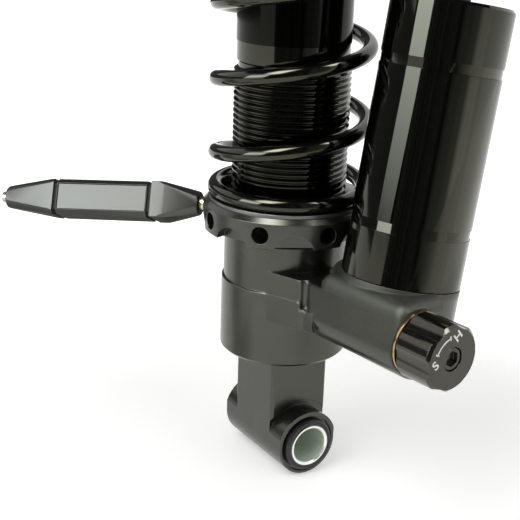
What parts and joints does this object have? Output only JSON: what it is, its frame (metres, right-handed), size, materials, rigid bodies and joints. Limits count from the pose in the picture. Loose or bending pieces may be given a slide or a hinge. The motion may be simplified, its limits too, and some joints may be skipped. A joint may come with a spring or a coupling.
{
  "type": "scooter front shock absorber",
  "caption": "Coil-over front damper with a lower eye, a threaded preload collar, a leaning side reservoir, a turning knob and an upper stud.",
  "frame": {"origin": "centre of the lower eye", "axes": "+Z along the damper towards its upper stud, +X along the eye's bore on the reservoir's side, +Y completes a right-handed set"},
  "size_m": [0.174, 0.1237, 0.2635],
  "materials": {
    "anodised_grey": "satin black anodised",
    "gloss_black": "gloss",
    "black_film": "gloss film",
    "dark_polymer": "satin",
    "bright_steel": "turned and zinc plated",
    "rod_chrome": "ground and hard chromed",
    "brass": "turned",
    "black_rubber": "moulded",
    "cap_plastic": "moulded",
    "sintered_alloy": "machined"
  },
  "bodies": {
    "damper_body": {"lower_body": "anodised_grey", "eye_bushes": "dark_polymer", "damper_tube": "gloss_black", "tube_seal": "black_rubber", "tube_wrap": "black_film", "rod_guide": "anodised_grey", "guide_bush": "dark_polymer", "rod_seal": "black_rubber", "tube_cap": "anodised_grey", "rod_wiper": "black_rubber", "reservoir_tube": "gloss_black", "reservoir_cap": "anodised_grey", "reservoir_cap_seal": "black_rubber", "reservoir_circlip": "bright_steel", "gas_valve": "brass", "valve_cap": "cap_plastic", "reservoir_foot_seal": "black_rubber", "adjuster_cartridge": "anodised_grey", "adjuster_gasket": "black_rubber", "adjuster_ring": "brass", "needle_seal": "black_rubber"},
    "eye_centre": {"eye_sleeve": "bright_steel"},
    "rod_and_top": {"piston_rod": "rod_chrome", "rebound_plate": "bright_steel", "upper_shims": "bright_steel", "piston": "sintered_alloy", "piston_band": "dark_polymer", "lower_shims": "bright_steel", "piston_nut": "bright_steel", "rebound_bumper": "black_rubber", "bump_stop": "black_rubber", "upper_seat": "anodised_grey", "lower_cup": "bright_steel", "lower_rubber": "black_rubber", "upper_rubber": "black_rubber", "upper_cup": "bright_steel", "stud_nut": "bright_steel"},
    "gas_piston": {"floating_piston": "anodised_grey", "floating_piston_seal": "dark_polymer"},
    "spring_seat": {"seat_washer": "gloss_black", "main_spring": "gloss_black"},
    "collar": {"preload_collar": "anodised_grey"},
    "turning_rod": {"turning_rod_handle": "anodised_grey", "turning_rod_pin": "bright_steel", "turning_rod_plug": "bright_steel"},
    "knob": {"adjuster_knob": "anodised_grey", "knob_screw": "bright_steel"},
    "needle": {"adjuster_needle": "brass"}
  },
  "joints": [
    {"name": "eye_swing", "type": "hinge", "parent": "damper_body", "child": "eye_centre", "pos_m": [0, 0, 0], "axis": [1, 0, 0], "range_deg": [-25, 25]},
    {"name": "rod_slide", "type": "slide", "parent": "damper_body", "child": "rod_and_top", "axis": [0, 0, -1], "range_m": [0, 0.032], "stiffness_N_per_m": 14400, "springref_m": -0.008, "deforming": ["main_spring"]},
    {"name": "gas_piston_slide", "type": "slide", "parent": "damper_body", "child": "gas_piston", "axis": [-0.0309, 0.1718, 0.9846], "range_m": [0, 0.0041]},
    {"name": "preload_lift", "type": "slide", "parent": "damper_body", "child": "spring_seat", "axis": [0, 0, 1], "range_m": [-0.00084, 0.0006]},
    {"name": "collar_turn", "type": "hinge", "parent": "spring_seat", "child": "collar", "pos_m": [0, 0, 0.08295], "axis": [0, 0, 1], "range_deg": [-150, 105]},
    {"name": "turning_rod_pull", "type": "slide", "parent": "collar", "child": "turning_rod", "axis": [-0.7294, -0.6802, -0.0732], "range_m": [0, 0.03]},
    {"name": "knob_turn", "type": "hinge", "parent": "damper_body", "child": "knob", "pos_m": [0.07344, -0.00033, 0.0608], "axis": [0.9945, 0.1045, 0], "range_deg": [-180, 180]},
    {"name": "needle_travel", "type": "slide", "parent": "damper_body", "child": "needle", "axis": [0.9945, 0.1045, 0], "range_m": [-0.00025, 0.00025]}
  ],
  "couplings": [
    {"joint": "gas_piston_slide", "follows": "rod_slide", "ratio": 0.12755},
    {"joint": "preload_lift", "follows": "collar_turn", "m_per_rad": 0.00031831},
    {"joint": "needle_travel", "follows": "knob_turn", "m_per_rad": -0.000079577}
  ]
}
